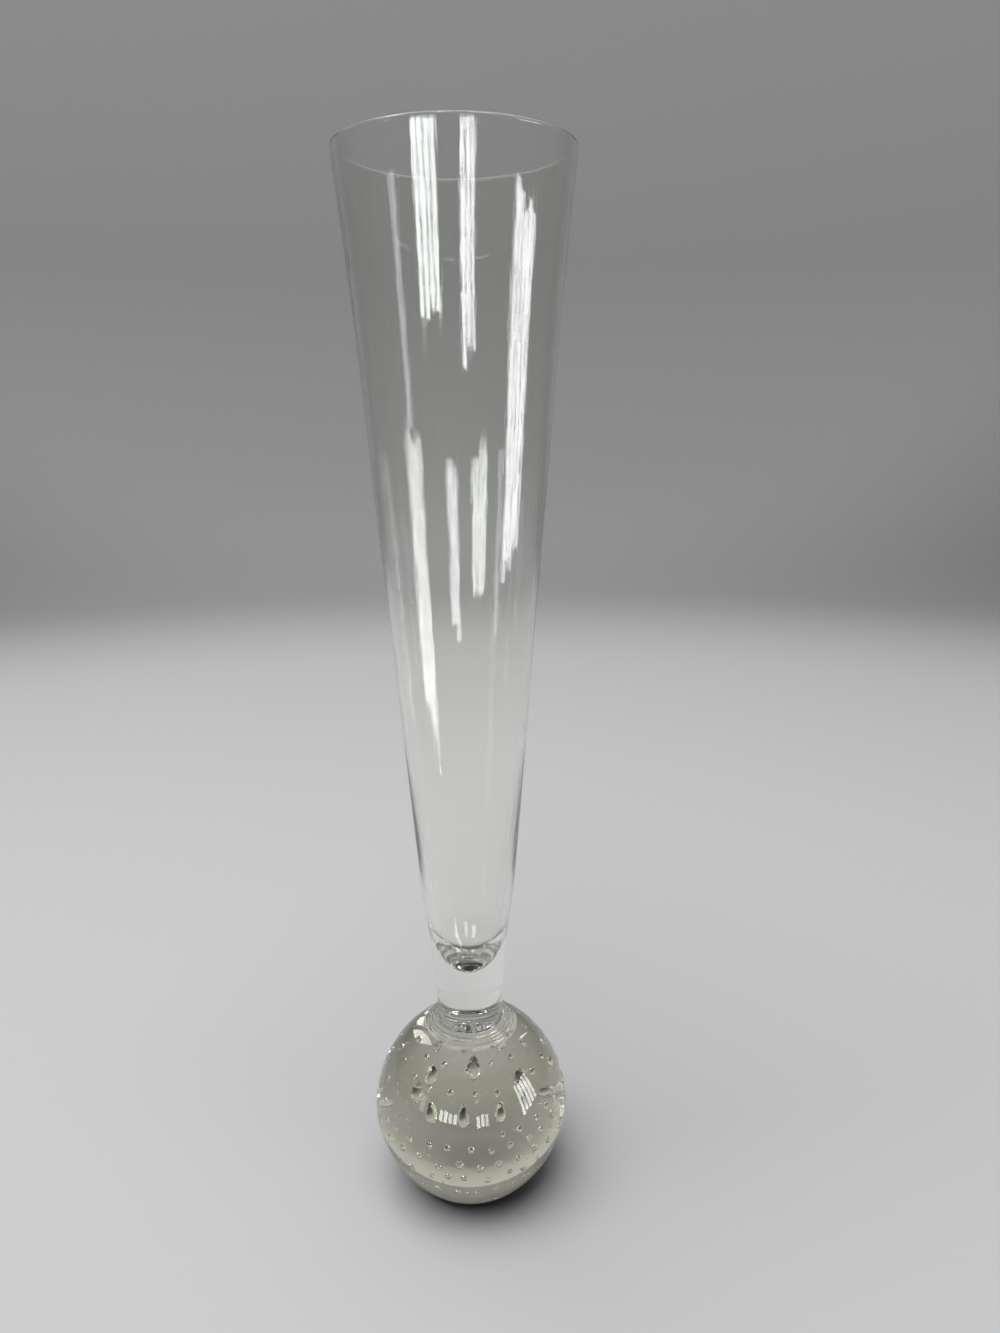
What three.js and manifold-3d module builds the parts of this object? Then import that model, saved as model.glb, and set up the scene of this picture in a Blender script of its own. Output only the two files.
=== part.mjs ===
// Clear glass trumpet vase: a blown cone on a short solid stem, which stands on a solid ball
// full of trapped air bubbles. All joints are fused hot, so every piece is a portion of glass.
// Millimetres, +Z up, with the origin at the middle of the ground flat that it stands on.

import * as THREE from 'three';
import { mergeVertices } from 'three/addons/utils/BufferGeometryUtils.js';
import Module from 'manifold-3d';

const wasm = await Module();
wasm.setup();

// Clearance left in each fused joint, so that neighbouring solids never touch
const JOINT_CLEARANCE = 0.3;

// Trumpet bowl
const VASE_HEIGHT = 406;
const RIM_RADIUS = 41.9;
const RIM_FLARE = 1.15;
const RIM_FLARE_LENGTH = 76;
const RIM_WALL = 1.9;
const FOOT_WALL = 4.2;
const WALL_TAPER_START = 24;
const WALL_TAPER_LENGTH = 75;
const CAVITY_FLOOR = 3.3;
const CAVITY_END_HEIGHT = 16;
const BOWL_SWELL = 1.2;
const BOWL_SWELL_START = 22.4;
const BOWL_SWELL_LENGTH = 32;

// Solid stem
const STEM_LENGTH = 10.6;
const STEM_RADIUS = 13.5;
const STEM_LIP = 0.4;
const STEM_LIP_HEIGHT = 2.4;
const STEM_EDGE_RADIUS = 0.9;

// Outer shape of the ball: each half is a superellipse, a little more pointed than a circle
const BALL_RADIUS = 40.5;
const BALL_EQUATOR_HEIGHT = 36.5;
const BALL_UPPER_REACH = 43;
const BALL_LOWER_REACH = 44;
const BALL_UPPER_FULLNESS = 1.9;
const BALL_LOWER_FULLNESS = 1.75;
const BASE_EDGE_CHAMFER = 0.6;

// Neck collar and the seat that it fills in the casing's shoulder
const NECK_RADIUS = 13.5;
const NECK_LENGTH = 8.3;
const NECK_FILLET = 1.2;
const COLLAR_FOOT_RADIUS = 19.2;
const COLLAR_DEPTH = 1.6;
const RIDGE_COUNT = 4;
const RIDGE_HEIGHT = 0.45;
const RIDGE_MARGIN = 0.9;
const CASING_NECK_RADIUS = 10.3;

// Second gather, under the casing, which holds the rows of small bubbles. The spiked mould sets
// the same number in every row, and the glass is twisted as it leaves. The rows close up towards
// the top, where the glass was squeezed most, and the crown's own rows are wider apart
const CASING_THICKNESS = 5.5;
const CASING_BOTTOM_THICKNESS = 4;
const BUBBLE_GATHER_NECK_RADIUS = 7.4;
const BUBBLE_RADIUS = 1.25;
const BUBBLE_SINK = 0.65;
const LATTICE_ROWS = 5;
const LATTICE_COLUMNS = 27;
const LATTICE_BOTTOM_ANGLE = -34.5;
const LATTICE_ROW_STEP = 16;
const LATTICE_ROW_CLOSING = 1.1;
const LATTICE_BEARING = 2;
const LATTICE_TWIST = 5.6;
const CROWN_ROWS = 3;
const CROWN_BOTTOM_ANGLE = 37;
const CROWN_TOP_ANGLE = 66;
const CROWN_PITCH = 9.5;

// First gather, which holds the ring of tall drop-shaped bubbles
const CORE_RADIUS = 16.5;
const CORE_BOTTOM = 17;
const CORE_TOP = 60;
const CORE_NECK_RADIUS = 4.4;
const DROP_COUNT = 8;
const DROP_RING_ANGLE = 1.5;
const DROP_BEARING = -9;
const DROP_RADIUS = 2.3;
const DROP_HALF_HEIGHT = 4.1;
const DROP_TAPER = 0.4;
const DROP_SINK = 1.1;

// Fineness of the faceted surfaces
const SEGMENTS = 32;
const BOWL_STEPS = 9;
const BALL_STEPS = 7;
const ROUND_STEPS = 4;
const RIDGE_STEPS = 3;

// Colours and finish, as MeshStandardMaterial values
const CLEAR_GLASS = { color: 0xd9ddd3, roughness: 0.04, metalness: 0, transparent: true, opacity: 0.35 };
const BALL_GLASS = { color: 0xb9b894, roughness: 0.03, metalness: 0, transparent: true, opacity: 0.45 };

// Small helpers

const { clamp, degToRad, smoothstep } = THREE.MathUtils;
const point = (radius, height) => new THREE.Vector2(radius, height);
const steps = (count) => Array.from({ length: count + 1 }, (_, i) => i / count);
const mix = (from, to, t) => from + (to - from) * t;

// Merges shared vertices and drops the empty triangles that meet at the axis
function weld(geometry) {
  geometry.deleteAttribute('normal');
  geometry.deleteAttribute('uv');
  const merged = mergeVertices(geometry, 1e-5);
  const source = merged.index.array;
  const kept = [];
  for (let i = 0; i < source.length; i += 3) {
    const [a, b, c] = [source[i], source[i + 1], source[i + 2]];
    if (a !== b && b !== c && c !== a) kept.push(a, b, c);
  }
  merged.setIndex(kept);
  return merged;
}

// Turns an outline of radius and height about the Z axis
function turned(outline, segments = SEGMENTS) {
  return weld(new THREE.LatheGeometry(outline, segments).rotateX(Math.PI / 2));
}

function toSolid(geometry) {
  return new wasm.Manifold(new wasm.Mesh({
    numProp: 3,
    vertProperties: new Float32Array(geometry.attributes.position.array),
    triVerts: new Uint32Array(geometry.index.array),
  }));
}

function toGeometry(solid) {
  const mesh = solid.getMesh();
  const geometry = new THREE.BufferGeometry();
  geometry.setAttribute('position', new THREE.BufferAttribute(mesh.vertProperties, 3));
  geometry.setIndex(new THREE.BufferAttribute(mesh.triVerts, 1));
  return geometry;
}

function namedMesh(name, geometry, finish) {
  geometry.computeVertexNormals();
  const mesh = new THREE.Mesh(geometry, new THREE.MeshStandardMaterial(finish));
  mesh.name = name;
  return mesh;
}

// Outer surface of the ball, and the neck that is drawn up out of it

function ballHeightAt(radius) {
  const rise = (1 - (radius / BALL_RADIUS) ** BALL_UPPER_FULLNESS) ** (1 / BALL_UPPER_FULLNESS);
  return BALL_EQUATOR_HEIGHT + BALL_UPPER_REACH * rise;
}

function ballRadiusAt(height) {
  const above = height > BALL_EQUATOR_HEIGHT;
  const reach = above ? BALL_UPPER_REACH : BALL_LOWER_REACH;
  const fullness = above ? BALL_UPPER_FULLNESS : BALL_LOWER_FULLNESS;
  const offset = Math.abs(height - BALL_EQUATOR_HEIGHT) / reach;
  return BALL_RADIUS * (1 - offset ** fullness) ** (1 / fullness);
}

// The stem is stuck on where the neck ends, above the fillet that blends it into the ball
const NECK_TOP = ballHeightAt(NECK_RADIUS) + NECK_FILLET + NECK_LENGTH;
const SEAM_HEIGHT = NECK_TOP + JOINT_CLEARANCE;

// Outer line shared by the stem and the bowl: one straight taper, with a swell where the solid
// glass ends and a slight flare at the rim

const BOWL_UNDERSIDE = SEAM_HEIGHT + STEM_LENGTH;
const CAVITY_BOTTOM = BOWL_UNDERSIDE + CAVITY_FLOOR;
const TAPER = (RIM_RADIUS - RIM_FLARE - BOWL_SWELL - STEM_RADIUS) / (VASE_HEIGHT - SEAM_HEIGHT);

function outerRadius(height) {
  const swell = smoothstep(height - SEAM_HEIGHT - BOWL_SWELL_START, 0, BOWL_SWELL_LENGTH);
  const flare = Math.max(0, 1 - (VASE_HEIGHT - height) / RIM_FLARE_LENGTH) ** 2;
  return STEM_RADIUS + TAPER * (height - SEAM_HEIGHT) + BOWL_SWELL * swell + RIM_FLARE * flare;
}

function wallThickness(height) {
  const thinning = smoothstep(height - CAVITY_BOTTOM - WALL_TAPER_START, 0, WALL_TAPER_LENGTH);
  return mix(FOOT_WALL, RIM_WALL, thinning);
}

function cavityRadius(height) {
  const inner = outerRadius(height) - wallThickness(height);
  const below = Math.max(0, 1 - (height - CAVITY_BOTTOM) / CAVITY_END_HEIGHT);
  return inner * Math.sqrt(1 - below * below);
}

function trumpetBowl() {
  const rimHeight = VASE_HEIGHT - RIM_WALL / 2;
  const wallStart = CAVITY_BOTTOM + CAVITY_END_HEIGHT;
  const outline = [point(0, BOWL_UNDERSIDE)];
  for (const t of steps(BOWL_STEPS)) {
    const height = mix(BOWL_UNDERSIDE, rimHeight, t ** 1.4);
    outline.push(point(outerRadius(height), height));
  }
  const rimMiddle = (outerRadius(rimHeight) + cavityRadius(rimHeight)) / 2;
  const rimHalf = (outerRadius(rimHeight) - cavityRadius(rimHeight)) / 2;
  for (const t of steps(ROUND_STEPS).slice(1, -1)) {
    const angle = Math.PI * t;
    outline.push(point(rimMiddle + rimHalf * Math.cos(angle), rimHeight + RIM_WALL / 2 * Math.sin(angle)));
  }
  for (const t of steps(BOWL_STEPS)) {
    const height = mix(rimHeight, wallStart, 1 - (1 - t) ** 1.4);
    outline.push(point(cavityRadius(height), height));
  }
  for (const t of steps(ROUND_STEPS).slice(1)) {
    const height = CAVITY_BOTTOM + CAVITY_END_HEIGHT * (1 - Math.sin(Math.PI / 2 * t));
    outline.push(point(t < 1 ? cavityRadius(height) : 0, height));
  }
  return turned(outline);
}

function solidStem() {
  const top = BOWL_UNDERSIDE - JOINT_CLEARANCE;
  const lip = (height) => STEM_LIP * (1 - smoothstep(height - SEAM_HEIGHT, 0, STEM_LIP_HEIGHT));
  const side = (height) => outerRadius(height) + lip(height);
  const outline = [point(0, SEAM_HEIGHT)];
  for (const t of steps(ROUND_STEPS)) {
    const angle = Math.PI / 2 * t;
    const height = SEAM_HEIGHT + STEM_EDGE_RADIUS * (1 - Math.cos(angle));
    outline.push(point(side(height) - STEM_EDGE_RADIUS * (1 - Math.sin(angle)), height));
  }
  for (const t of steps(ROUND_STEPS).slice(1)) {
    const height = mix(SEAM_HEIGHT + STEM_EDGE_RADIUS, SEAM_HEIGHT + STEM_LIP_HEIGHT, t);
    outline.push(point(side(height), height));
  }
  outline.push(point(side(top), top), point(0, top));
  return turned(outline);
}

// Outline of one gather, from the bottom pole up to its neck, or the same with a gap added

function gatherOutline(shape, gap) {
  const neck = shape.neckRadius + gap;
  const radius = shape.radius + gap;
  const lower = BALL_EQUATOR_HEIGHT - shape.bottom + gap;
  const upper = shape.top - BALL_EQUATOR_HEIGHT + gap;
  const neckAngle = Math.acos(neck / radius);
  const outline = [point(0, BALL_EQUATOR_HEIGHT - lower)];
  for (const t of steps(BALL_STEPS).slice(1)) {
    const angle = Math.PI / 2 * (t - 1);
    outline.push(point(radius * Math.cos(angle), BALL_EQUATOR_HEIGHT + lower * Math.sin(angle)));
  }
  for (const t of steps(BALL_STEPS - 2).slice(1)) {
    const angle = neckAngle * t;
    outline.push(point(radius * Math.cos(angle), BALL_EQUATOR_HEIGHT + upper * Math.sin(angle)));
  }
  outline.push(point(neck, NECK_TOP));
  return outline;
}

const BUBBLE_GATHER = {
  radius: BALL_RADIUS - CASING_THICKNESS,
  bottom: CASING_BOTTOM_THICKNESS,
  top: BALL_EQUATOR_HEIGHT + BALL_UPPER_REACH - CASING_THICKNESS,
  neckRadius: BUBBLE_GATHER_NECK_RADIUS,
};

const CORE = {
  radius: CORE_RADIUS,
  bottom: CORE_BOTTOM,
  top: CORE_TOP,
  neckRadius: CORE_NECK_RADIUS,
};

function ballCasing() {
  const seatEdge = COLLAR_FOOT_RADIUS + JOINT_CLEARANCE;
  const shoulder = ballHeightAt(seatEdge);
  const outline = [point(0, 0), point(ballRadiusAt(0) - BASE_EDGE_CHAMFER, 0)];
  for (const t of steps(BALL_STEPS)) {
    const height = mix(BASE_EDGE_CHAMFER, BALL_EQUATOR_HEIGHT, Math.sin(Math.PI / 2 * t) ** 1.2);
    outline.push(point(ballRadiusAt(height), height));
  }
  for (const t of steps(BALL_STEPS).slice(1)) {
    const height = mix(BALL_EQUATOR_HEIGHT, shoulder, Math.sin(Math.PI / 2 * t));
    outline.push(point(ballRadiusAt(height), height));
  }
  for (const t of steps(ROUND_STEPS)) {
    const radius = mix(seatEdge, CASING_NECK_RADIUS, t);
    outline.push(point(radius, ballHeightAt(radius) - COLLAR_DEPTH));
  }
  outline.push(point(CASING_NECK_RADIUS, NECK_TOP));
  outline.push(...gatherOutline(BUBBLE_GATHER, JOINT_CLEARANCE).reverse());
  return turned(outline);
}

function neckCollar() {
  const filletEnd = NECK_RADIUS + NECK_FILLET;
  const ridgeStart = NECK_RADIUS + RIDGE_MARGIN;
  const ridged = (radius) => {
    const across = clamp((COLLAR_FOOT_RADIUS - radius) / (COLLAR_FOOT_RADIUS - ridgeStart), 0, 1);
    return ballHeightAt(radius) + RIDGE_HEIGHT * Math.abs(Math.sin(Math.PI * RIDGE_COUNT * across));
  };
  const fillet = (radius) => {
    const inward = clamp((filletEnd - radius) / NECK_FILLET, 0, 1);
    return NECK_FILLET * (1 - Math.sqrt(1 - inward * inward));
  };
  const bore = CASING_NECK_RADIUS + JOINT_CLEARANCE;
  const underside = (radius) => ballHeightAt(radius) - COLLAR_DEPTH + JOINT_CLEARANCE;
  const outline = [];
  for (const t of steps(ROUND_STEPS)) {
    const radius = mix(bore, COLLAR_FOOT_RADIUS, t);
    outline.push(point(radius, underside(radius)));
  }
  for (const t of steps(RIDGE_STEPS * RIDGE_COUNT)) {
    const radius = mix(COLLAR_FOOT_RADIUS, ridgeStart, t);
    outline.push(point(radius, ridged(radius) + fillet(radius)));
  }
  for (const t of steps(ROUND_STEPS).slice(1)) {
    const radius = mix(ridgeStart, NECK_RADIUS, t);
    outline.push(point(radius, ridged(radius) + fillet(radius)));
  }
  outline.push(point(NECK_RADIUS, NECK_TOP), point(bore, NECK_TOP), outline[0].clone());
  return turned(outline);
}

// A pit that holds one bubble: round, or drawn out to a narrow upper end

function pit(site, halfWidth, halfHeight, taper, around, along) {
  const outline = steps(along).map((t) => {
    const angle = Math.PI * t;
    const width = t === 0 || t === 1 ? 0 : halfWidth * Math.sin(angle);
    return point(width * (1 - taper * t), -halfHeight * Math.cos(angle));
  });
  const geometry = turned(outline, around);
  geometry.rotateX(site.tilt).rotateZ(site.bearing).translate(site.x, site.y, site.z);
  return toSolid(geometry);
}

// A place on a gather's surface, sunk by a depth: angle is measured up from the equator, and
// bearing round the axis from the front

function surfaceSite(shape, angle, bearing, sink) {
  const reach = angle < 0 ? BALL_EQUATOR_HEIGHT - shape.bottom : shape.top - BALL_EQUATOR_HEIGHT;
  const radius = (shape.radius - sink) * Math.cos(angle);
  return {
    x: radius * Math.sin(bearing),
    y: -radius * Math.cos(bearing),
    z: BALL_EQUATOR_HEIGHT + (reach - sink) * Math.sin(angle),
    tilt: Math.PI / 2 - angle,
    bearing,
  };
}

// Rows of small bubbles, each with its angle, its number of bubbles and the bearing of its first

function bubbleRows() {
  const rowStart = (row) => degToRad(LATTICE_BEARING - LATTICE_TWIST * row);
  const rows = [];
  for (let i = 0; i < LATTICE_ROWS; i++) {
    const rise = LATTICE_ROW_STEP * i - LATTICE_ROW_CLOSING * i * i;
    const angle = degToRad(LATTICE_BOTTOM_ANGLE + rise);
    rows.push({ angle, count: LATTICE_COLUMNS, start: rowStart(i) });
  }
  for (const t of steps(CROWN_ROWS - 1)) {
    const angle = degToRad(mix(CROWN_BOTTOM_ANGLE, CROWN_TOP_ANGLE, t));
    const count = Math.round(2 * Math.PI * BUBBLE_GATHER.radius * Math.cos(angle) / CROWN_PITCH);
    rows.push({ angle, count, start: rowStart(rows.length) });
  }
  return rows;
}

function bubbleGather() {
  const pits = [];
  for (const row of bubbleRows()) {
    for (let i = 0; i < row.count; i++) {
      const bearing = row.start + 2 * Math.PI * i / row.count;
      const site = surfaceSite(BUBBLE_GATHER, row.angle, bearing, BUBBLE_SINK);
      pits.push(pit(site, BUBBLE_RADIUS, BUBBLE_RADIUS, 0, 5, 3));
    }
  }
  const inside = gatherOutline(CORE, JOINT_CLEARANCE).reverse();
  const body = toSolid(turned([...gatherOutline(BUBBLE_GATHER, 0), ...inside]));
  return toGeometry(body.subtract(wasm.Manifold.union(pits)));
}

function coreGather() {
  const pits = [];
  for (let i = 0; i < DROP_COUNT; i++) {
    const bearing = degToRad(DROP_BEARING) + 2 * Math.PI * i / DROP_COUNT;
    const site = surfaceSite(CORE, degToRad(DROP_RING_ANGLE), bearing, DROP_SINK);
    site.tilt = 0;
    pits.push(pit(site, DROP_RADIUS, DROP_HALF_HEIGHT, DROP_TAPER, 7, 5));
  }
  const body = toSolid(turned([...gatherOutline(CORE, 0), point(0, NECK_TOP)]));
  return toGeometry(body.subtract(wasm.Manifold.union(pits)));
}

const vase = new THREE.Group();
vase.add(namedMesh('trumpet_bowl', trumpetBowl(), CLEAR_GLASS));
vase.add(namedMesh('stem', solidStem(), CLEAR_GLASS));
vase.add(namedMesh('neck_collar', neckCollar(), BALL_GLASS));
vase.add(namedMesh('ball_casing', ballCasing(), BALL_GLASS));
vase.add(namedMesh('bubble_gather', bubbleGather(), BALL_GLASS));
vase.add(namedMesh('core_gather', coreGather(), BALL_GLASS));

export default vase;
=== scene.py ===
import math

import bpy
import numpy as np
from mathutils import Matrix, Vector


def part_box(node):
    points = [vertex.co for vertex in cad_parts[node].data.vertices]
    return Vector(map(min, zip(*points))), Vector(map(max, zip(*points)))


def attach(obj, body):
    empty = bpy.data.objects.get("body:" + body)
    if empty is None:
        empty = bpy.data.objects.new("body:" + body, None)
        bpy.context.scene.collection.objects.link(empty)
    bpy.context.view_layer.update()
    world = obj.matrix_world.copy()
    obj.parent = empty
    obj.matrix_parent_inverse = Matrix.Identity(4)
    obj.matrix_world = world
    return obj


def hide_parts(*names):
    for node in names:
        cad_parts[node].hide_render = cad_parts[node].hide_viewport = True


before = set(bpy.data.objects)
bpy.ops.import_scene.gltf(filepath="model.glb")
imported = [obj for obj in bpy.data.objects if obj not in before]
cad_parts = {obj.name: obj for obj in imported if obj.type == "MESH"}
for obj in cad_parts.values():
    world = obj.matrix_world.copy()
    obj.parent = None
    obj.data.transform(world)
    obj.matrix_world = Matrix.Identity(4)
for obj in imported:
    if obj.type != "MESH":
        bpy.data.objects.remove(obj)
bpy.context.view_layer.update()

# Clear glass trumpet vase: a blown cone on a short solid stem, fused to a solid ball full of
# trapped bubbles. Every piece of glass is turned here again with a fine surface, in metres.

MM = 0.001

# Sizes that the frame gives

VASE_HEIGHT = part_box("trumpet_bowl")[1].z
RIM_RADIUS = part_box("trumpet_bowl")[1].x
BOWL_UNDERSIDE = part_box("trumpet_bowl")[0].z
SEAM_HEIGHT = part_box("stem")[0].z
COLLAR_FOOT_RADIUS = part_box("neck_collar")[1].x
BALL_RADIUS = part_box("ball_casing")[1].x
BUBBLE_GATHER_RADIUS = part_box("bubble_gather")[1].x
BUBBLE_GATHER_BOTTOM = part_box("bubble_gather")[0].z
CORE_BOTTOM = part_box("core_gather")[0].z

# Sizes of the outlines, the same as the model's where no comment says otherwise

RIM_FLARE = 1.15 * MM
RIM_FLARE_LENGTH = 76 * MM
RIM_WALL = 1.9 * MM
FOOT_WALL = 4.2 * MM
WALL_TAPER_START = 24 * MM
WALL_TAPER_LENGTH = 75 * MM
CAVITY_FLOOR = 3.3 * MM
# The cavity's end is rounder than in the model
CAVITY_END_HEIGHT = 23 * MM
BOWL_SWELL = 1.2 * MM
BOWL_SWELL_START = 22.4 * MM
BOWL_SWELL_LENGTH = 32 * MM
STEM_RADIUS = 13.5 * MM
BALL_EQUATOR_HEIGHT = 36.5 * MM
BALL_UPPER_REACH = 43 * MM
BALL_LOWER_REACH = 44 * MM
BALL_UPPER_FULLNESS = 1.9
BALL_LOWER_FULLNESS = 1.75
BASE_EDGE = 0.6 * MM
NECK_RADIUS = 13.5 * MM
NECK_FILLET = 1.2 * MM
COLLAR_DEPTH = 1.6 * MM
RIDGE_COUNT = 4
# The ridges are higher than in the model
RIDGE_HEIGHT = 0.55 * MM
RIDGE_MARGIN = 0.9 * MM
CASING_NECK_RADIUS = 10.3 * MM
BUBBLE_GATHER_TOP = 74 * MM
BUBBLE_GATHER_NECK = 7.4 * MM
# The core is wider than in the model, so that it closes round its drops
CORE_RADIUS = 18.5 * MM
CORE_TOP = 60 * MM
CORE_NECK = 4.4 * MM

# Two pieces that are fused keep this much air between their faces, too little to be seen

JOINT_GAP = 0.02 * MM

# The trapped air

# Latitudes and bearings are in degrees, and bearings are measured from the camera's side, to the
# right. A spread is the usual difference from one bubble to the next, and limits say how many
# spreads a bubble may differ
LATTICE_ROWS = 5
LATTICE_COLUMNS = 27
LATTICE_BOTTOM_ANGLE = -34.5
LATTICE_ROW_STEP = 16
LATTICE_ROW_CLOSING = 1.1
LATTICE_BEARING = 2
LATTICE_TWIST = 5.6
# Latitude and number of bubbles of each row above the lattice
CROWN_ROWS = ((37, 19), (52, 14), (65, 9))
# Bearings between which the lattice's top row has no bubbles
TOP_ROW_GAP = (-62, 8)
# The lowest rows have none beyond this bearing to either side
OPEN_BACK_ROWS = 2
OPEN_BACK_BEARING = 155
BUBBLE_RADIUS = 1.2 * MM
BUBBLE_RADIUS_SPREAD = 0.10
BUBBLE_RADIUS_LIMITS = (-2, 2)
BUBBLE_DEPTH = 1.7 * MM
BUBBLE_DEPTH_SPREAD = 0.25 * MM
BUBBLE_DEPTH_LIMITS = (-1, 2)
BUBBLE_ANGLE_SPREAD = 1.2
BUBBLE_FLATNESS = 0.95
BUBBLE_TALLNESS = 1.08
BUBBLE_TALLNESS_SPREAD = 0.05
# Latitude, bearing and radius of the three larger bubbles
BLISTERS = ((60, -50, 1.9 * MM), (62, 45, 2.1 * MM), (27, 85, 1.9 * MM))
DROP_COUNT = 8
DROP_BEARING = -8
DROP_BEARING_SPREAD = 3
DROP_RING_RADIUS = 15.5 * MM
DROP_RING_HEIGHT = 37 * MM
DROP_RING_TILT = 2.5 * MM
DROP_HEIGHT_SPREAD = 0.8 * MM
DROP_RADIUS = 2.2 * MM
DROP_RADIUS_SPREAD = 0.12
DROP_HALF_HEIGHT = 3.9 * MM
DROP_HALF_HEIGHT_SPREAD = 0.15
DROP_FLATNESS = 0.8
DROP_TAPER = 0.4

# Seeds are the smallest bubbles. Their depths and radii are ranges in millimetres

SEED_COUNT = 60
SEED_LATITUDES = (-50, 70)
SEED_DEPTHS = (3, 15)
SEED_RADII = (0.22, 0.5)

# Fineness

# Faces round a turned piece
SEGMENTS = 256
HIDDEN_SEGMENTS = 96
# Points along each part of an outline
BOWL_STEPS = 150
BOWL_STEP_CLOSING = 1.1
RIM_STEPS = 17
CAVITY_END_STEPS = 28
STEM_STEPS = 40
SEAT_STEPS = 20
COLLAR_STEPS = 120
BALL_STEPS = 50
GATHER_LOWER_STEPS = 28
GATHER_UPPER_STEPS = 24
# Faces around a bubble and along it
BUBBLE_FINENESS = (24, 14)
SEED_FINENESS = (12, 8)
DROP_FINENESS = (40, 26)
# An edge that turns by more than this stays sharp
SHARP_ANGLE = math.radians(40)
# A smaller radius than this is a point on the axis
ON_AXIS = 1e-9

rng = np.random.default_rng(14)


def smooth(t):
    t = np.clip(t, 0, 1)
    return t * t * (3 - 2 * t)


def mix(a, b, t):
    return a + (b - a) * t


# Outlines, as lists of points with a radius and a height

TAPER = (RIM_RADIUS - RIM_FLARE - BOWL_SWELL - STEM_RADIUS) / (VASE_HEIGHT - SEAM_HEIGHT)
CAVITY_BOTTOM = BOWL_UNDERSIDE + CAVITY_FLOOR
CAVITY_END = CAVITY_BOTTOM + CAVITY_END_HEIGHT
NECK_TOP = SEAM_HEIGHT - JOINT_GAP
BUBBLE_GATHER = (BUBBLE_GATHER_RADIUS, BUBBLE_GATHER_BOTTOM, BUBBLE_GATHER_TOP, BUBBLE_GATHER_NECK)
CORE = (CORE_RADIUS, CORE_BOTTOM, CORE_TOP, CORE_NECK)


def outer_radius(z):
    """The one outer line that the bowl and the stem share."""
    swell = smooth((z - SEAM_HEIGHT - BOWL_SWELL_START) / BOWL_SWELL_LENGTH)
    flare = np.maximum(0, 1 - (VASE_HEIGHT - z) / RIM_FLARE_LENGTH) ** 2
    return STEM_RADIUS + TAPER * (z - SEAM_HEIGHT) + BOWL_SWELL * swell + RIM_FLARE * flare


def wall_thickness(z):
    thinning = smooth((z - CAVITY_BOTTOM - WALL_TAPER_START) / WALL_TAPER_LENGTH)
    return mix(FOOT_WALL, RIM_WALL, thinning)


def cavity_radius(z):
    below = np.maximum(0, 1 - (z - CAVITY_BOTTOM) / CAVITY_END_HEIGHT)
    return (outer_radius(z) - wall_thickness(z)) * np.sqrt(np.maximum(0, 1 - below * below))


def ball_height_at(radius):
    share = 1 - (radius / BALL_RADIUS) ** BALL_UPPER_FULLNESS
    return BALL_EQUATOR_HEIGHT + BALL_UPPER_REACH * share ** (1 / BALL_UPPER_FULLNESS)


def ball_radius_at(z):
    above = z > BALL_EQUATOR_HEIGHT
    reach = np.where(above, BALL_UPPER_REACH, BALL_LOWER_REACH)
    fullness = np.where(above, BALL_UPPER_FULLNESS, BALL_LOWER_FULLNESS)
    share = 1 - (np.abs(z - BALL_EQUATOR_HEIGHT) / reach) ** fullness
    return BALL_RADIUS * share ** (1 / fullness)


def collar_top(radius):
    """The collar's upper side: fine ridges over the ball's shoulder, then the fillet of the neck."""
    across = (COLLAR_FOOT_RADIUS - radius) / (COLLAR_FOOT_RADIUS - NECK_RADIUS - RIDGE_MARGIN)
    ridge = RIDGE_HEIGHT * np.abs(np.sin(math.pi * RIDGE_COUNT * np.clip(across, 0, 1)))
    inward = np.clip((NECK_RADIUS + NECK_FILLET - radius) / NECK_FILLET, 0, 1)
    return ball_height_at(radius) + ridge + NECK_FILLET * (1 - np.sqrt(1 - inward * inward))


def line(radii, heights):
    return list(zip(radii.tolist(), heights.tolist()))


def gather_outline(radius, bottom, top, neck, gap=0.0):
    """From the bottom pole of a gather, round its side and up its neck. With a gap, the outline is
    that of the hollow that the gather fills."""
    radius = radius + gap
    bottom = bottom - gap
    top = top + gap
    neck = neck + gap
    low = np.linspace(-math.pi / 2, 0, GATHER_LOWER_STEPS)
    high = np.linspace(0, math.acos(neck / radius), GATHER_UPPER_STEPS)[1:]
    low_heights = BALL_EQUATOR_HEIGHT + (BALL_EQUATOR_HEIGHT - bottom) * np.sin(low)
    high_heights = BALL_EQUATOR_HEIGHT + (top - BALL_EQUATOR_HEIGHT) * np.sin(high)
    outline = line(radius * np.cos(low), low_heights) + line(radius * np.cos(high), high_heights)
    outline[0] = (0.0, bottom)
    return outline + [(neck, NECK_TOP)]


# The unevenness of hand work, the same for all outer surfaces

WOBBLE = 0.035 * MM
WAVE_NUMBERS = (1, 2, 2, 3, 3, 5, 7, 11)
WAVE_CLIMB = 90
WAVE_SHARES = (0.4, 1.0)
WAVE_FADING = 0.5

# Waves round the vase, each with its number, how fast it turns with height, its start and its share
WAVES = [
    (
        number,
        rng.uniform(-1, 1) * WAVE_CLIMB,
        rng.uniform(0, 2 * math.pi),
        rng.uniform(*WAVE_SHARES),
    )
    for number in WAVE_NUMBERS
]


def unevenness(theta, z):
    total = 0
    for number, climb, start, share in WAVES:
        height = share / (1 + WAVE_FADING * number)
        total = total + height * np.sin(number * theta + climb * z + start)
    return total


# Mesh building

def turned_ring(radius, z, theta, wobble):
    if radius <= ON_AXIS:
        return np.array([[0, 0, z]])
    uneven = radius + wobble * unevenness(theta, z) * min(1, radius / STEM_RADIUS)
    return np.stack([uneven * np.sin(theta), -uneven * np.cos(theta), np.full(len(theta), z)], 1)


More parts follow.
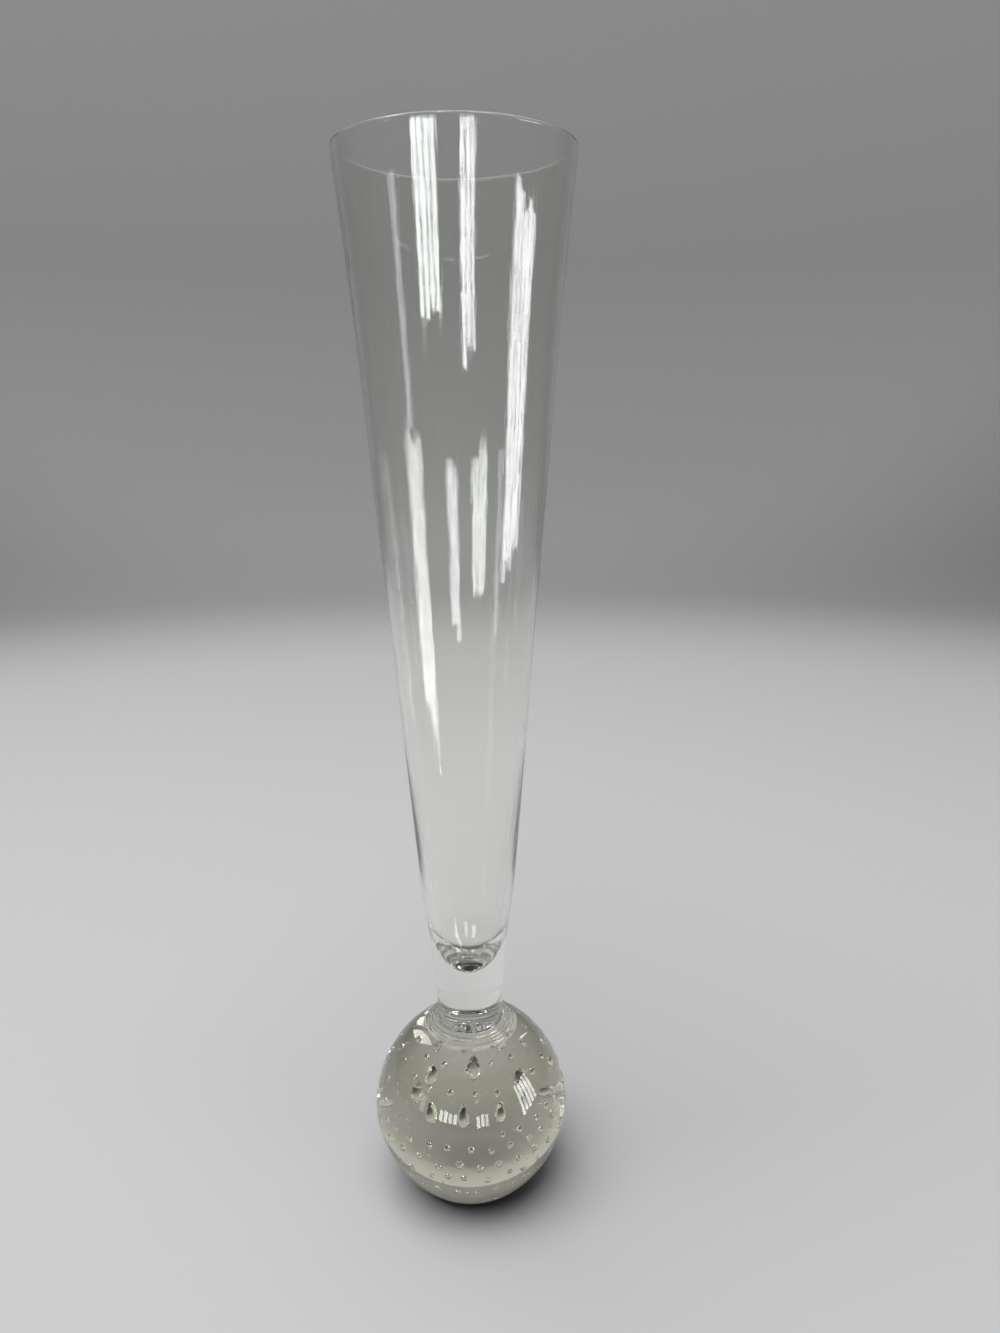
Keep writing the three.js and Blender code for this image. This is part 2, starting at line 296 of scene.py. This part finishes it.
def ring_faces(a, b, segments):
    """Quads between two rings of vertices, or triangles where one of them is a single point."""
    pairs = [(i, (i + 1) % segments) for i in range(segments)]
    if a[1] == 1:
        return [(a[0], b[0] + j, b[0] + i) for i, j in pairs]
    if b[1] == 1:
        return [(a[0] + i, a[0] + j, b[0]) for i, j in pairs]
    return [(a[0] + i, a[0] + j, b[0] + j, b[0] + i) for i, j in pairs]


class Solid:
    """Collects closed turned shells and voids, and makes one mesh object of them."""

    def __init__(self, *materials):
        self.materials = materials
        self.vertices = []
        self.faces = []
        self.slots = []

    def add_ring(self, points):
        """Adds a ring of vertices, and gives the number of its first one and their count."""
        start = sum(len(ring) for ring in self.vertices)
        self.vertices.append(points)
        return start, len(points)

    def add_faces(self, faces, material):
        self.faces += faces
        self.slots += [self.materials.index(material)] * len(faces)

    def turn(self, sections, segments=SEGMENTS, closed=False, wobble=0.0):
        """Turns an outline. It comes in sections of a material and the points that its faces lead
        to, one after the other."""
        theta = np.linspace(0, 2 * math.pi, segments, endpoint=False)
        rings = []
        finishes = []
        for material, outline in sections:
            for radius, z in outline:
                rings.append(self.add_ring(turned_ring(radius, z, theta, wobble)))
                finishes.append(material)
        if closed:
            rings.append(rings[0])
            finishes.append(finishes[-1])
        for a, b, material in zip(rings, rings[1:], finishes[1:]):
            self.add_faces(ring_faces(a, b, segments), material)

    def void(self, centre, axes, material, fineness, taper=0.0):
        """A closed bubble whose faces point into its air. axes has its three half sizes as columns,
        and fineness is its number of faces around and along."""
        around, along = fineness
        theta = np.linspace(0, 2 * math.pi, around, endpoint=False)
        angles = np.linspace(0, math.pi, along + 1)
        rings = []
        for angle in angles:
            radius = math.sin(angle) * (1 - taper * (1 - math.cos(angle)) / 2)
            z = -math.cos(angle)
            if angle in (angles[0], angles[-1]):
                local = np.array([[0, 0, z]])
            else:
                across = radius * np.cos(theta)
                deep = radius * np.sin(theta)
                local = np.stack([across, deep, np.full(around, z)], 1)
            rings.append(self.add_ring(local @ np.asarray(axes).T + np.asarray(centre)))
        for a, b in zip(rings, rings[1:]):
            faces = [tuple(reversed(face)) for face in ring_faces(a, b, around)]
            self.add_faces(faces, material)

    def make(self, name):
        mesh = bpy.data.meshes.new(name)
        mesh.from_pydata(np.concatenate(self.vertices).tolist(), [], self.faces)
        for material in self.materials:
            mesh.materials.append(material)
        mesh.polygons.foreach_set("material_index", self.slots)
        mesh.shade_smooth()
        mesh.set_sharp_from_angle(angle=SHARP_ANGLE)
        mesh.update()
        piece = bpy.data.objects.new(name, mesh)
        bpy.context.scene.collection.objects.link(piece)
        return piece


def stands_for(piece, slot, *nodes):
    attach(piece, "root")
    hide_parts(*nodes)


# Materials

# The Mix node's sockets share their names, so the ones for colours go by their number
MIX_FACTOR = 0
MIX_FROM = 6
MIX_TO = 7
MIX_RESULT = 2
# A stretch that leaves noise as it is
EVEN = (1, 1, 1)


class Nodes:
    """A material's node tree, with short ways to add and join nodes."""

    def __init__(self, name):
        self.material = bpy.data.materials.new(name)
        self.material.use_nodes = True
        self.tree = self.material.node_tree
        self.tree.nodes.clear()
        self.output = self.add("ShaderNodeOutputMaterial")

    def add(self, kind, **values):
        node = self.tree.nodes.new(kind)
        for key, value in values.items():
            if key in node.inputs:
                node.inputs[key].default_value = value
            else:
                setattr(node, key, value)
        return node

    def join(self, source, target, out=0, into=0):
        self.tree.links.new(source.outputs[out], target.inputs[into])

    def sum(self, a, b):
        node = self.add("ShaderNodeMath", operation="ADD")
        self.join(a, node, 0, 0)
        self.join(b, node, 0, 1)
        return node

    def noise(self, scale, detail, roughness=0.5, stretch=EVEN):
        """Noise over the object's own coordinates. A small stretch draws it out along that axis."""
        place = self.add("ShaderNodeTexCoord")
        mapping = self.add("ShaderNodeMapping", Scale=stretch)
        noise = self.add("ShaderNodeTexNoise", Scale=scale, Detail=detail, Roughness=roughness)
        self.join(place, mapping, "Object", "Vector")
        self.join(mapping, noise, "Vector", "Vector")
        return noise

    def span(self, source, before, after, out=0):
        """Maps one range of a value on another."""
        ranged = self.add("ShaderNodeMapRange")
        ranged.inputs["From Min"].default_value = before[0]
        ranged.inputs["From Max"].default_value = before[1]
        ranged.inputs["To Min"].default_value = after[0]
        ranged.inputs["To Max"].default_value = after[1]
        self.join(source, ranged, out, "Value")
        return ranged

    def blend(self, factor, colour):
        """A blend that starts from this colour. What it goes to is set on its MIX_TO socket."""
        node = self.add("ShaderNodeMix", data_type="RGBA")
        self.join(factor, node, 0, MIX_FACTOR)
        node.inputs[MIX_FROM].default_value = (*colour, 1)
        return node

    def bump(self, layers):
        """Bump nodes in a chain, one for each layer of noise."""
        last = None
        for layer in layers:
            noise = self.noise(layer["scale"], layer["detail"], stretch=layer.get("stretch", EVEN))
            bump = self.add("ShaderNodeBump", Distance=layer["distance"], Strength=layer["strength"])
            self.join(noise, bump, 0, "Height")
            if last is not None:
                self.join(last, bump, "Normal", "Normal")
            last = bump
        return last


# The glass. Scales of noise are in cells to the metre

GLASS_IOR = 1.5
CLEAR = (0.985, 0.988, 0.975)
OLIVE = (0.82, 0.81, 0.66)
UNTINTED = (1.0, 1.0, 1.0)
# Heights between which the ball's tint fades up the neck, where the glass is thinner
TINT_FADE = (66 * MM, 80 * MM)
# Roughness of the cleanest and of the most handled places
GLASS_SMUDGE = (0.0, 0.02)
BUBBLE_SMUDGE = (0.0, 0.01)
SMUDGE_SCALE = 38
SMUDGE_DETAIL = 5
SMUDGE_ROUGHNESS = 0.62
SMUDGE_RANGE = (0.45, 0.72)
# The fine rough lines along a blown wall
LINE_ROUGHNESS = 0.09
LINE_SCALE = 550
LINE_DETAIL = 2
LINE_STRETCH = (1, 1, 0.015)
LINE_RANGE = (0.54, 0.66)

# Bump: dents and drawn lines in a blown wall, the ball's swirled skin, and a bubble's wall

WALL_DENTS = dict(scale=60, detail=1, stretch=(1, 1, 0.12), distance=0.25 * MM, strength=0.35)
WALL_LINES = dict(scale=700, detail=3, stretch=(1, 1, 0.02), distance=0.05 * MM, strength=0.6)
SWIRLED_SKIN = dict(scale=45, detail=1.5, distance=0.2 * MM, strength=0.25)
BUBBLE_SKIN = dict(scale=700, detail=1, distance=0.02 * MM, strength=0.2)


def glass(name, colour, smudge, layers, lined=False, neck_colour=None):
    """Clear glass. Where a neck's colour is given, the tint fades into it up the ball's neck."""
    nodes = Nodes(name)
    shader = nodes.add("ShaderNodeBsdfPrincipled", IOR=GLASS_IOR)
    shader.inputs["Base Color"].default_value = (*colour, 1)
    shader.inputs["Transmission Weight"].default_value = 1.0
    if neck_colour is not None:
        place = nodes.add("ShaderNodeTexCoord")
        split = nodes.add("ShaderNodeSeparateXYZ")
        nodes.join(place, split, "Object", 0)
        tint = nodes.blend(nodes.span(split, TINT_FADE, (0, 1), out="Z"), colour)
        tint.inputs[MIX_TO].default_value = (*neck_colour, 1)
        nodes.join(tint, shader, MIX_RESULT, "Base Color")
    handled = nodes.noise(SMUDGE_SCALE, SMUDGE_DETAIL, SMUDGE_ROUGHNESS)
    marks = nodes.span(handled, SMUDGE_RANGE, smudge)
    if lined:
        drawn = nodes.noise(LINE_SCALE, LINE_DETAIL, stretch=LINE_STRETCH)
        marks = nodes.sum(marks, nodes.span(drawn, LINE_RANGE, (0, LINE_ROUGHNESS)))
    nodes.join(marks, shader, 0, "Roughness")
    nodes.join(nodes.bump(layers), shader, "Normal", "Normal")
    nodes.join(shader, nodes.output, 0, "Surface")
    return nodes.material


def fused_joint():
    """The inside of a fused joint, where light passes straight on."""
    nodes = Nodes("fused_joint")
    nodes.join(nodes.add("ShaderNodeBsdfTransparent"), nodes.output, 0, "Surface")
    return nodes.material


BOWL_GLASS = glass("bowl_glass", CLEAR, GLASS_SMUDGE, [WALL_DENTS, WALL_LINES], lined=True)
BALL_GLASS = glass("ball_glass", OLIVE, GLASS_SMUDGE, [SWIRLED_SKIN], neck_colour=CLEAR)
BUBBLE_WALL = glass("bubble_wall", UNTINTED, BUBBLE_SMUDGE, [BUBBLE_SKIN])
JOINT = fused_joint()


# Pieces of the vase, from the top down

def trumpet_bowl():
    rim_height = VASE_HEIGHT - RIM_WALL / 2
    rim_middle = outer_radius(rim_height) - RIM_WALL / 2
    fall = np.linspace(1, 0, BOWL_STEPS) ** BOWL_STEP_CLOSING
    rise = rim_height - (rim_height - BOWL_UNDERSIDE) * fall
    outside = line(outer_radius(rise), rise)
    turn = np.linspace(0, math.pi, RIM_STEPS)
    rim = line(rim_middle + RIM_WALL / 2 * np.cos(turn), rim_height + RIM_WALL / 2 * np.sin(turn))
    depth = np.linspace(rim_height, CAVITY_END, BOWL_STEPS)
    inside = line(cavity_radius(depth), depth)
    quarter = np.linspace(0, math.pi / 2, CAVITY_END_STEPS)
    end = CAVITY_BOTTOM + CAVITY_END_HEIGHT * (1 - np.sin(quarter))
    bottom = line(cavity_radius(end), end)[:-1] + [(0.0, CAVITY_BOTTOM)]
    foot = BOWL_UNDERSIDE + JOINT_GAP
    solid = Solid(BOWL_GLASS, JOINT)
    solid.turn(
        [
            (JOINT, [(0.0, foot), (outside[0][0], foot)]),
            (BOWL_GLASS, outside[1:] + rim[1:] + inside[1:] + bottom[1:]),
        ],
        wobble=WOBBLE,
    )
    stands_for(solid.make("trumpet_bowl_glass"), "clear_glass", "trumpet_bowl")


def stem():
    rise = np.linspace(SEAM_HEIGHT, BOWL_UNDERSIDE, STEM_STEPS)
    side = line(outer_radius(rise), rise)
    solid = Solid(BOWL_GLASS, JOINT)
    solid.turn(
        [
            (JOINT, [(0.0, SEAM_HEIGHT), side[0]]),
            (BOWL_GLASS, side[1:]),
            (JOINT, [(0.0, BOWL_UNDERSIDE)]),
        ],
        wobble=WOBBLE,
    )
    stands_for(solid.make("stem_glass"), "clear_glass", "stem")


def neck_collar():
    seat = np.linspace(CASING_NECK_RADIUS, COLLAR_FOOT_RADIUS, SEAT_STEPS)
    top = np.linspace(COLLAR_FOOT_RADIUS, NECK_RADIUS, COLLAR_STEPS)
    solid = Solid(BALL_GLASS, JOINT)
    solid.turn(
        [
            (JOINT, line(seat, ball_height_at(seat) - COLLAR_DEPTH + JOINT_GAP)),
            (BALL_GLASS, line(top, collar_top(top)) + [(NECK_RADIUS, NECK_TOP)]),
            (JOINT, [(CASING_NECK_RADIUS + JOINT_GAP, NECK_TOP)]),
        ],
        closed=True,
        wobble=WOBBLE,
    )
    stands_for(solid.make("neck_collar_glass"), "ball_glass", "neck_collar")


def ball_casing():
    quarter = np.sin(np.linspace(0, math.pi / 2, BALL_STEPS))
    low = BASE_EDGE + (BALL_EQUATOR_HEIGHT - BASE_EDGE) * quarter
    shoulder = ball_height_at(COLLAR_FOOT_RADIUS)
    high = BALL_EQUATOR_HEIGHT + (shoulder - BALL_EQUATOR_HEIGHT) * quarter[1:]
    side = line(ball_radius_at(low), low) + line(ball_radius_at(high), high)
    base_radius = float(ball_radius_at(0.0)) - BASE_EDGE
    seat = np.linspace(COLLAR_FOOT_RADIUS, CASING_NECK_RADIUS, SEAT_STEPS)
    under_collar = line(seat, ball_height_at(seat) - COLLAR_DEPTH) + [(CASING_NECK_RADIUS, NECK_TOP)]
    hollow = gather_outline(*BUBBLE_GATHER, gap=JOINT_GAP)
    solid = Solid(BALL_GLASS, JOINT)
    solid.turn(
        [
            (BALL_GLASS, [(0.0, 0.0), (base_radius, 0.0)] + side),
            (JOINT, under_collar + hollow[::-1]),
        ],
        wobble=WOBBLE,
    )
    stands_for(solid.make("ball_casing_glass"), "ball_glass", "ball_casing")


def bubble_axes(outward, across, deep, tall):
    """Half sizes of a bubble as columns: across the surface, into the glass, and up along it."""
    side = Vector((0, 0, 1)).cross(outward).normalized()
    up = outward.cross(side)
    return np.array([side * across, outward * deep, up * tall]).T


def gather_site(latitude, bearing, depth):
    """A point under the bubble gather's surface, and the outward direction there."""
    angle = math.radians(latitude)
    turn = math.radians(bearing)
    if angle < 0:
        reach = BALL_EQUATOR_HEIGHT - BUBBLE_GATHER_BOTTOM
    else:
        reach = BUBBLE_GATHER_TOP - BALL_EQUATOR_HEIGHT
    flat = (BUBBLE_GATHER_RADIUS - depth) * math.cos(angle)
    height = BALL_EQUATOR_HEIGHT + (reach - depth) * math.sin(angle)
    point = Vector((flat * math.sin(turn), -flat * math.cos(turn), height))
    level = math.cos(angle)
    outward = Vector((level * math.sin(turn), -level * math.cos(turn), math.sin(angle)))
    return point, outward


def bubble_rows():
    """Latitude, number of bubbles and first bearing of each row of the lattice and of the crown."""
    lattice = [
        (
            LATTICE_BOTTOM_ANGLE + LATTICE_ROW_STEP * n - LATTICE_ROW_CLOSING * n * n,
            LATTICE_COLUMNS,
            LATTICE_BEARING - LATTICE_TWIST * n,
        )
        for n in range(LATTICE_ROWS)
    ]
    crown = [
        (latitude, count, LATTICE_BEARING - LATTICE_TWIST * n)
        for n, (latitude, count) in enumerate(CROWN_ROWS)
    ]
    return lattice + crown


def left_out(row, bearing):
    """The gap in the lattice's top row, and the back of its lowest rows, where the ball would show
    a bubble greatly enlarged."""
    in_gap = row == LATTICE_ROWS - 1 and TOP_ROW_GAP[0] < bearing < TOP_ROW_GAP[1]
    at_back = row < OPEN_BACK_ROWS and abs(bearing) > OPEN_BACK_BEARING
    return in_gap or at_back


def add_rows(solid):
    for row, (latitude, count, start) in enumerate(bubble_rows()):
        for i in range(count):
            jitter = rng.normal(0, 1, 5)
            wider = np.clip(jitter[0], *BUBBLE_RADIUS_LIMITS)
            size = BUBBLE_RADIUS * (1 + BUBBLE_RADIUS_SPREAD * wider)
            bearing = start + 360 * i / count + BUBBLE_ANGLE_SPREAD * jitter[1]
            bearing = (bearing + 180) % 360 - 180
            if left_out(row, bearing):
                continue
            deeper = np.clip(jitter[2], *BUBBLE_DEPTH_LIMITS)
            depth = BUBBLE_DEPTH + BUBBLE_DEPTH_SPREAD * deeper
            centre, outward = gather_site(latitude + BUBBLE_ANGLE_SPREAD * jitter[3], bearing, depth)
            tall = size * (BUBBLE_TALLNESS + BUBBLE_TALLNESS_SPREAD * jitter[4])
            axes = bubble_axes(outward, size, size * BUBBLE_FLATNESS, tall)
            solid.void(centre, axes, BUBBLE_WALL, BUBBLE_FINENESS)


def add_blisters(solid):
    for latitude, bearing, size in BLISTERS:
        centre, outward = gather_site(latitude, bearing, BUBBLE_DEPTH)
        solid.void(centre, bubble_axes(outward, size, size, size), BUBBLE_WALL, BUBBLE_FINENESS)


def add_seeds(solid):
    for _ in range(SEED_COUNT):
        latitude = rng.uniform(*SEED_LATITUDES)
        bearing = rng.uniform(0, 360)
        depth = rng.uniform(*SEED_DEPTHS) * MM
        size = rng.uniform(*SEED_RADII) * MM
        centre, outward = gather_site(latitude, bearing, depth)
        solid.void(centre, bubble_axes(outward, size, size, size), BUBBLE_WALL, SEED_FINENESS)


def bubble_gather():
    hollow = gather_outline(*CORE, gap=JOINT_GAP)
    solid = Solid(JOINT, BUBBLE_WALL)
    solid.turn([(JOINT, gather_outline(*BUBBLE_GATHER) + hollow[::-1])], segments=HIDDEN_SEGMENTS)
    add_rows(solid)
    add_blisters(solid)
    add_seeds(solid)
    stands_for(solid.make("bubble_gather_glass"), "ball_glass", "bubble_gather")


def add_drops(solid):
    for i in range(DROP_COUNT):
        jitter = rng.normal(0, 1, 4)
        turn = math.radians(DROP_BEARING + 360 * i / DROP_COUNT + DROP_BEARING_SPREAD * jitter[0])
        outward = Vector((math.sin(turn), -math.cos(turn), 0))
        centre = Vector((
            DROP_RING_RADIUS * math.sin(turn),
            -DROP_RING_RADIUS * math.cos(turn),
            DROP_RING_HEIGHT,
        ))
        centre.z += DROP_RING_TILT * math.cos(turn) + DROP_HEIGHT_SPREAD * jitter[1]
        width = DROP_RADIUS * (1 + DROP_RADIUS_SPREAD * jitter[2])
        height = DROP_HALF_HEIGHT * (1 + DROP_HALF_HEIGHT_SPREAD * jitter[3])
        axes = bubble_axes(outward, width, width * DROP_FLATNESS, height)
        solid.void(centre, axes, BUBBLE_WALL, DROP_FINENESS, DROP_TAPER)


def core_gather():
    solid = Solid(JOINT, BUBBLE_WALL)
    solid.turn([(JOINT, gather_outline(*CORE) + [(0.0, NECK_TOP)])], segments=HIDDEN_SEGMENTS)
    add_drops(solid)
    stands_for(solid.make("core_gather_glass"), "ball_glass", "core_gather")


trumpet_bowl()
stem()
neck_collar()
ball_casing()
bubble_gather()
core_gather()


# Stage: a round sweep of pale floor that rises into a wall

FLOOR_COLOUR = (0.56, 0.56, 0.56)
STAGE_ROUGHNESS = 0.9
WALL_BACK = 0.36
WALL_SIDE = 0.12
WALL_FADE = (1.1, 1.9)
FLOOR_FADE = (0.9, 2.1)
SWEEP_MIDDLE = 0.02
SWEEP_START = 1.5
SWEEP_RADIUS = 0.7
WALL_TOP = 2.6
SWEEP_SEGMENTS = 128
SWEEP_STEPS = 24
FLOOR_DROP = 0.1 * MM


def sweep_material():
    """The floor's colour fades into the wall's away from the vase. The wall is pale behind the vase
    and darker round the sides, which the glass reflects towards its edges."""
    nodes = Nodes("sweep")
    shader = nodes.add("ShaderNodeBsdfPrincipled", Roughness=STAGE_ROUGHNESS)
    shader.inputs["Specular IOR Level"].default_value = 0
    place = nodes.add("ShaderNodeTexCoord")
    split = nodes.add("ShaderNodeSeparateXYZ")
    nodes.join(place, split, "Object", 0)
    wall = nodes.span(split, WALL_FADE, (WALL_SIDE, WALL_BACK), out="Y")
    wall.interpolation_type = "SMOOTHSTEP"
    away = nodes.add("ShaderNodeVectorMath", operation="LENGTH")
    nodes.join(place, away, "Object", 0)
    outward = nodes.span(away, FLOOR_FADE, (0, 1), out="Value")
    outward.interpolation_type = "SMOOTHSTEP"
    colour = nodes.blend(outward, FLOOR_COLOUR)
    nodes.join(wall, colour, 0, MIX_TO)
    nodes.join(colour, shader, MIX_RESULT, "Base Color")
    nodes.join(shader, nodes.output, 0, "Surface")
    return nodes.material


def sweep():
    material = sweep_material()
    flat = np.linspace(SWEEP_MIDDLE, SWEEP_START, SWEEP_STEPS)
    bend = np.linspace(0, math.pi / 2, SWEEP_STEPS)
    outline = [(0.0, 0.0)] + line(flat, np.zeros(SWEEP_STEPS))
    outline += line(SWEEP_START + SWEEP_RADIUS * np.sin(bend), SWEEP_RADIUS * (1 - np.cos(bend)))[1:]
    outline += [(SWEEP_START + SWEEP_RADIUS, WALL_TOP)]
    solid = Solid(material)
    solid.turn([(material, outline)], segments=SWEEP_SEGMENTS)
    floor = solid.make("sweep")
    floor.location.z = -FLOOR_DROP


sweep()


# Light: one large soft lamp overhead, an even grey world, and four windows on the camera's side

WHITE = (1.0, 1.0, 1.0)
# The share of its pitch that a window's slat fills
SLAT_SHARE = 0.72
SLAT_UNEVENNESS = 0.035
SLAT_BRIGHTNESS = (0.75, 1.1)
WORLD_COLOUR = (0.5, 0.5, 0.5)
WORLD_STRENGTH = 0.75


def lamp(name, place, target, size, radiance, colour=WHITE):
    """A flat lamp. Its radiance sets how bright it looks, whatever its size."""
    data = bpy.data.lights.new(name, "AREA")
    data.shape = "RECTANGLE"
    data.size = size[0]
    data.size_y = size[1]
    data.energy = radiance * math.pi * size[0] * size[1]
    data.color = colour
    light = bpy.data.objects.new(name, data)
    bpy.context.scene.collection.objects.link(light)
    light.location = place
    light.rotation_mode = "QUATERNION"
    light.rotation_quaternion = (Vector(target) - Vector(place)).to_track_quat("-Z", "Y")
    light.visible_camera = False
    return light


def window(name, bearing, width, low, high, distance, slats, radiance, colour=WHITE, slope=0.0):
    """Tall slats side by side, which show as streaks in the glass and don't light the floor. The
    vase sees them at a bearing and over an angular width, both in degrees. Their ends are uneven,
    as behind a curtain, and the lower ends rise by slope from the first slat to the last."""
    middle = math.radians(bearing)
    across = Vector((math.cos(middle), math.sin(middle), 0))
    centre = Vector((distance * math.sin(middle), -distance * math.cos(middle), 0))
    full = 2 * distance * math.tan(math.radians(width) / 2)
    pitch = full / slats
    for i in range(slats):
        foot = low + slope * i / slats + rng.uniform(0, SLAT_UNEVENNESS) * distance
        head = high - rng.uniform(0, SLAT_UNEVENNESS) * distance
        bright = radiance * rng.uniform(*SLAT_BRIGHTNESS)
        place = centre + across * (pitch * (i + 0.5) - full / 2)
        place.z = (foot + head) / 2
        size = (pitch * SLAT_SHARE, head - foot)
        slat = lamp(f"{name}_{i}", place, (0, 0, place.z), size, bright, colour)
        slat.visible_diffuse = False


def windows():
    window(
        "window_left", bearing=-28, width=22, low=0.22, high=0.60, distance=1.9,
        slats=4, radiance=14, colour=(0.95, 1.0, 0.97),
    )
    window(
        "window_far", bearing=-61, width=8, low=0.15, high=0.48, distance=1.2,
        slats=1, radiance=3, colour=(0.96, 0.97, 1.0),
    )
    window(
        "window_middle", bearing=12, width=15, low=0.12, high=0.60, distance=1.9,
        slats=3, radiance=12, colour=(0.98, 0.97, 1.0),
    )
    window(
        "window_right", bearing=71, width=25, low=0.02, high=0.43, distance=0.8,
        slats=5, radiance=12, slope=0.06,
    )


def soft_light():
    overhead = lamp(
        "overhead", place=(-0.5, -0.5, 2.5), target=(0, 0, 0.1), size=(2.4, 2.4), radiance=4.2,
    )
    overhead.visible_glossy = False
    overhead.visible_transmission = False
    world = bpy.data.worlds.new("world")
    world.use_nodes = True
    background = world.node_tree.nodes["Background"]
    background.inputs["Color"].default_value = (*WORLD_COLOUR, 1)
    background.inputs["Strength"].default_value = WORLD_STRENGTH
    bpy.context.scene.world = world


windows()
soft_light()


# Camera: a phone's wide lens, a little above the vase's middle and tipped down

CAMERA_PLACE = (0, -0.3564, 0.3153)
CAMERA_PITCH = math.radians(14.0)
CAMERA_YAW = math.radians(2.22)
CAMERA_ROLL = math.radians(-0.5)
LENS = 26.0
SENSOR = 36.0
NEAREST = 0.01
FARTHEST = 20


def camera():
    data = bpy.data.cameras.new("camera")
    data.lens = LENS
    data.sensor_width = SENSOR
    data.clip_start = NEAREST
    data.clip_end = FARTHEST
    view = bpy.data.objects.new("camera", data)
    bpy.context.scene.collection.objects.link(view)
    forward = Vector((
        math.sin(CAMERA_YAW) * math.cos(CAMERA_PITCH),
        math.cos(CAMERA_YAW) * math.cos(CAMERA_PITCH),
        -math.sin(CAMERA_PITCH),
    ))
    level = Vector((math.cos(CAMERA_YAW), -math.sin(CAMERA_YAW), 0))
    upright = level.cross(forward)
    right = level * math.cos(CAMERA_ROLL) + upright * math.sin(CAMERA_ROLL)
    up = upright * math.cos(CAMERA_ROLL) - level * math.sin(CAMERA_ROLL)
    turn = Matrix((right, up, -forward)).transposed()
    view.matrix_world = Matrix.Translation(CAMERA_PLACE) @ turn.to_4x4()
    bpy.context.scene.camera = view


camera()

# Light passes many faces of glass in the ball, and a joint's transparent faces beside them

GLASS_BOUNCES = 32
GLOSSY_BOUNCES = 12
JOINT_BOUNCES = 64
DIFFUSE_BOUNCES = 3

scene = bpy.context.scene
scene.view_settings.view_transform = "Standard"
scene.cycles.max_bounces = GLASS_BOUNCES
scene.cycles.transmission_bounces = GLASS_BOUNCES
scene.cycles.glossy_bounces = GLOSSY_BOUNCES
scene.cycles.transparent_max_bounces = JOINT_BOUNCES
scene.cycles.diffuse_bounces = DIFFUSE_BOUNCES
scene.cycles.caustics_refractive = False
scene.cycles.caustics_reflective = False
